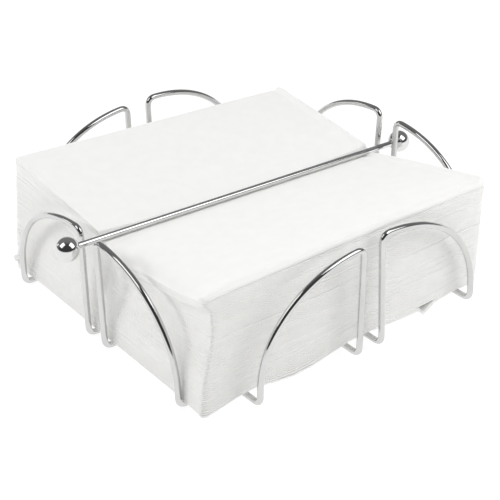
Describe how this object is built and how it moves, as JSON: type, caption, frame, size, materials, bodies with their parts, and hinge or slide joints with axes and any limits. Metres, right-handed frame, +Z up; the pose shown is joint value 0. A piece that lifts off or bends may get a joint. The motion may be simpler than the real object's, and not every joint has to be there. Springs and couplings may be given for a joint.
{
  "type": "napkin dispenser",
  "caption": "Square chrome wire napkin basket with quarter-round loops on every side, a stack of folded paper napkins and a loose weight bar with ball ends.",
  "frame": {"origin": "on the table, under the middle of the object's outline", "axes": "+X along the weight bar, from its high end to its low end, +Y from the front side to the back side, +Z up"},
  "size_m": [0.2138, 0.1852, 0.0643],
  "materials": {
    "basket_wire": "polished",
    "weight_bar": "polished",
    "napkin": "matte"
  },
  "bodies": {
    "frame": {"left_loop_back": "basket_wire", "left_loop_front": "basket_wire", "right_loop_front": "basket_wire", "right_loop_back": "basket_wire", "front_loop_left": "basket_wire", "front_loop_right": "basket_wire", "back_loop_right": "basket_wire", "back_loop_left": "basket_wire", "base_wire_front": "basket_wire", "base_wire_mid_front": "basket_wire", "base_wire_mid_back": "basket_wire", "base_wire_back": "basket_wire", "cross_wire_left": "basket_wire", "cross_wire_mid_left": "basket_wire", "cross_wire_mid_right": "basket_wire", "cross_wire_right": "basket_wire"},
    "lower_napkins": {"napkins_01": "napkin", "napkins_02": "napkin", "napkins_03": "napkin", "napkins_04": "napkin", "napkins_05": "napkin", "napkins_06": "napkin"},
    "upper_napkins": {"napkins_07": "napkin", "napkins_08": "napkin", "napkins_09": "napkin", "napkins_10": "napkin"},
    "weight_bar": {"weight_rod": "weight_bar", "ball_left": "weight_bar", "ball_right": "weight_bar"}
  },
  "joints": [
    {"name": "lower_napkins_lift", "type": "slide", "parent": "frame", "child": "lower_napkins", "axis": [0, 0, 1], "range_m": [0, 0.065]},
    {"name": "upper_napkins_lift", "type": "slide", "parent": "lower_napkins", "child": "upper_napkins", "axis": [0, 0, 1], "range_m": [0, 0.035]},
    {"name": "weight_bar_lift", "type": "slide", "parent": "upper_napkins", "child": "weight_bar", "axis": [0, 0, 1], "range_m": [0, 0.03]}
  ]
}
